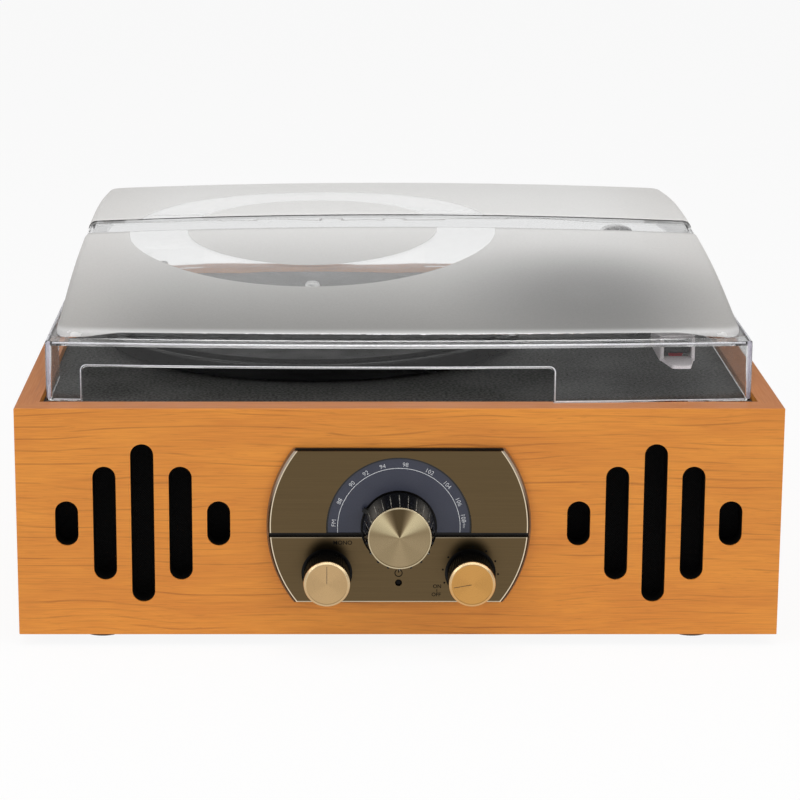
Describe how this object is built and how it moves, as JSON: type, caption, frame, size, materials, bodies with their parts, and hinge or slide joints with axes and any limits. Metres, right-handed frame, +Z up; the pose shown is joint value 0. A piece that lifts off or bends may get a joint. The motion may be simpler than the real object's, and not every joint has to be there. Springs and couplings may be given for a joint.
{
  "type": "record player",
  "caption": "Compact record player and FM radio in a wood veneer case, with front speakers, a round-ended dial panel and a hinged frosted dust cover.",
  "frame": {"origin": "middle of the whole outline, on the surface that the feet stand on", "axes": "+X to the right seen from the front, +Y to the back, +Z up"},
  "size_m": [0.33, 0.3382, 0.159],
  "materials": {
    "wood": "honey-coloured wood veneer, satin lacquer",
    "inner_board": "raw fibre board and glue blocks",
    "rubber": "black moulded rubber",
    "black_screw": "blackened steel",
    "zinc_screw": "zinc plated steel",
    "speaker_steel": "black pressed steel",
    "paper": "black paper cone",
    "ferrite": "grey ferrite magnet",
    "cloth": "black speaker cloth",
    "black_plastic": "fine-textured black plastic",
    "bronze_plate": "brushed antique bronze",
    "dial_blue": "dark blue printed dial",
    "lamp": "dark lamp lens",
    "champagne": "spun champagne metal",
    "brass_knob": "turned brass",
    "steel": "turned steel",
    "board_green": "green circuit board",
    "board_brown": "brown circuit board",
    "component": "moulded component housing",
    "socket_metal": "nickel plated",
    "deck_plastic": "sand-textured black plastic",
    "platter_black": "smooth black plastic",
    "mat_rubber": "ribbed black rubber",
    "belt_rubber": "ground rubber belt",
    "bronze_bush": "sintered bronze",
    "arm_silver": "satin silver tube",
    "headshell_white": "pale grey plastic",
    "cartridge_black": "black plastic",
    "stylus_red": "red plastic",
    "clear_cover": "clear plastic with a frosted top"
  },
  "bodies": {
    "root": {"front_board": "wood", "left_board": "wood", "right_board": "wood", "rear_board": "wood", "bottom_board": "inner_board", "corner_blocks": "inner_board", "rubber_feet": "rubber", "case_screws": "zinc_screw", "deck_screws": "black_screw", "speaker_screws": "black_screw", "fitting_screws": "black_screw", "board_screws": "zinc_screw", "speaker_baskets": "speaker_steel", "speaker_cones": "paper", "speaker_magnets": "ferrite", "grille_cloths": "cloth", "panel_frame": "black_plastic", "upper_panel": "bronze_plate", "lower_panel": "bronze_plate", "dial_plate": "dial_blue", "power_led": "lamp", "tuning_capacitor": "component", "function_switch": "component", "volume_control": "component", "radio_board": "board_green", "amplifier_board": "board_brown", "board_standoffs": "black_plastic", "connector_plate": "black_plastic", "line_out_sockets": "socket_metal", "dc_inlet": "component", "deck_plate": "deck_plastic", "spindle_bearing": "bronze_bush", "drive_belt": "belt_rubber", "motor": "zinc_screw", "arm_base": "black_plastic", "arm_rest": "black_plastic", "hinge_brackets": "clear_cover"},
    "platter": {"platter": "platter_black", "slip_mat": "mat_rubber", "spindle": "steel"},
    "motor_pulley": {"motor_pulley": "bronze_bush"},
    "tuning": {"tuning_knob": "black_plastic", "tuning_cap": "champagne", "tuning_shaft": "steel"},
    "function": {"function_knob": "brass_knob", "function_shaft": "steel"},
    "volume": {"volume_knob": "brass_knob", "volume_shaft": "steel"},
    "arm_yoke": {"arm_yoke": "black_plastic"},
    "tonearm": {"arm_tube": "arm_silver", "counterweight": "black_plastic", "headshell": "headshell_white", "cartridge": "cartridge_black", "stylus": "stylus_red"},
    "lift_platform": {"lift_platform": "black_plastic"},
    "cue_lever": {"cue_lever": "black_plastic"},
    "speed_selector": {"speed_selector": "black_plastic"},
    "auto_stop_switch": {"auto_stop_switch": "black_plastic"},
    "cover": {"dust_cover": "clear_cover", "hinge_arms": "clear_cover"}
  },
  "joints": [
    {"name": "cover_hinge", "type": "hinge", "parent": "root", "child": "cover", "pos_m": [0, 0.1551, 0.1115], "axis": [-1, 0, 0], "range_deg": [0, 70]},
    {"name": "platter_spin", "type": "hinge", "parent": "root", "child": "platter", "pos_m": [-0.038, 0.0051, 0.1125], "axis": [0, 0, -1], "continuous": true},
    {"name": "pulley_spin", "type": "hinge", "parent": "root", "child": "motor_pulley", "pos_m": [-0.09545, 0.05331, 0.104], "axis": [0, 0, -1], "continuous": true},
    {"name": "tonearm_swing", "type": "hinge", "parent": "root", "child": "arm_yoke", "pos_m": [0.1235, 0.1181, 0.124], "axis": [0, 0, -1], "range_deg": [0, 40]},
    {"name": "tonearm_lift", "type": "hinge", "parent": "arm_yoke", "child": "tonearm", "pos_m": [0.1235, 0.1181, 0.124], "axis": [-1, 0, 0], "range_deg": [0, 1.86]},
    {"name": "platform_slide", "type": "slide", "parent": "root", "child": "lift_platform", "axis": [0, 0, 1], "range_m": [0, 0.00146]},
    {"name": "cue_lever_turn", "type": "hinge", "parent": "root", "child": "cue_lever", "pos_m": [0.139, 0.0821, 0.11], "axis": [-1, 0, 0], "range_deg": [0, 80]},
    {"name": "speed_slide", "type": "slide", "parent": "root", "child": "speed_selector", "axis": [0, 1, 0], "range_m": [0, 0.012]},
    {"name": "auto_stop_slide", "type": "slide", "parent": "root", "child": "auto_stop_switch", "axis": [0, 1, 0], "range_m": [0, 0.006]},
    {"name": "tuning_turn", "type": "hinge", "parent": "root", "child": "tuning", "pos_m": [0, -0.1499, 0.0547], "axis": [0, 1, 0], "range_deg": [-29.5, 150.5]},
    {"name": "function_turn", "type": "hinge", "parent": "root", "child": "function", "pos_m": [-0.031, -0.1499, 0.0342], "axis": [0, 1, 0], "range_deg": [-30, 30]},
    {"name": "volume_turn", "type": "hinge", "parent": "root", "child": "volume", "pos_m": [0.031, -0.1499, 0.0342], "axis": [0, 1, 0], "range_deg": [0, 290]}
  ],
  "couplings": [
    {"joint": "pulley_spin", "follows": "platter_spin", "ratio": 13.683},
    {"joint": "tonearm_lift", "follows": "cue_lever_turn", "ratio": 0.023214},
    {"joint": "platform_slide", "follows": "cue_lever_turn", "m_per_rad": 0.0010444}
  ]
}
